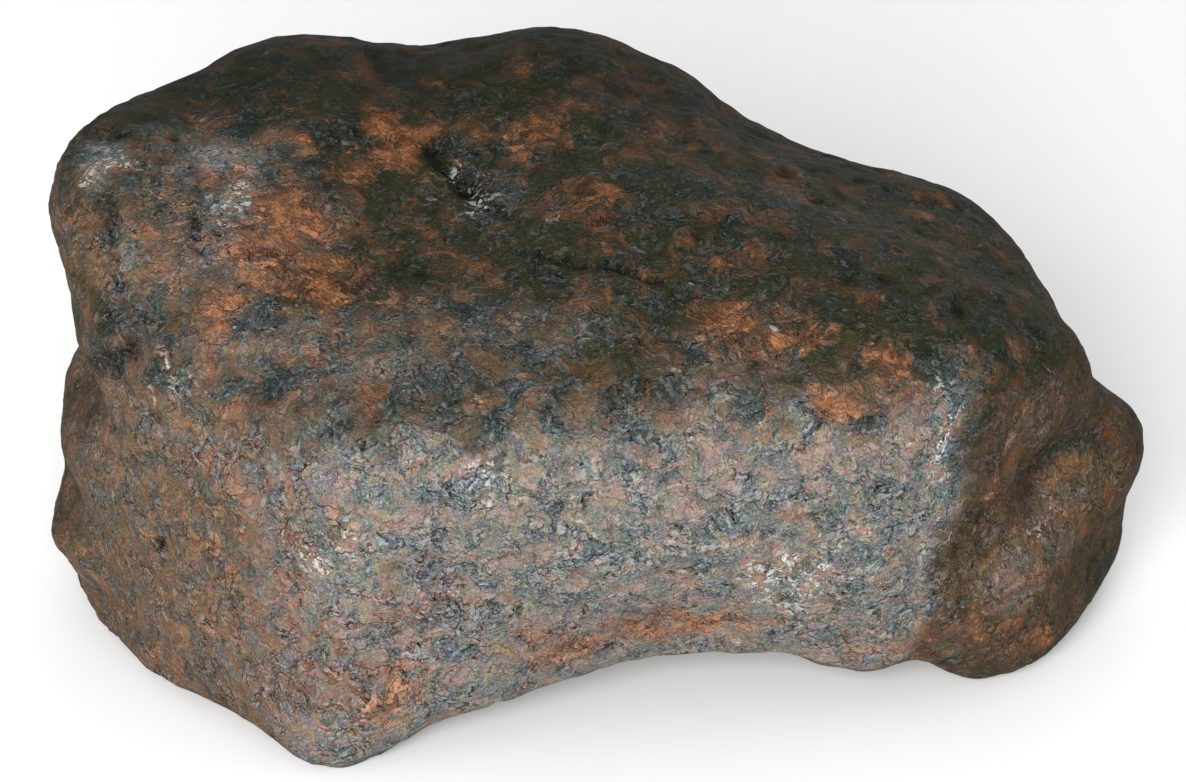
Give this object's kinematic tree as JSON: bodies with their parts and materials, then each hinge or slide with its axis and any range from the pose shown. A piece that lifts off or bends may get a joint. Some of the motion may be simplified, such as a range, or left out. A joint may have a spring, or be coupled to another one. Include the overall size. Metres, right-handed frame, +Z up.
{
  "type": "meteorite",
  "caption": "Palm-sized iron meteorite, a blunt wedge of rust-mottled metal with a knob, a crease and shallow thumbprint dents, kept as a display specimen.",
  "frame": {"origin": "middle of the bounding box left to right and front to back, on the plane the feet rest on", "axes": "+X along the stone's longest extent, towards the end with the round dent; +Y towards the back; +Z up, its shortest extent; the broad pale face looks towards -Y"},
  "size_m": [0.1202, 0.0706, 0.0581],
  "materials": {
    "rusted_iron": "weathered iron: dark olive-brown patina above, worn grey-pink metal in front, orange rust blotches, fine flaky grain with small bright flecks"
  },
  "bodies": {
    "root": {"meteorite": "rusted_iron"}
  },
  "joints": []
}
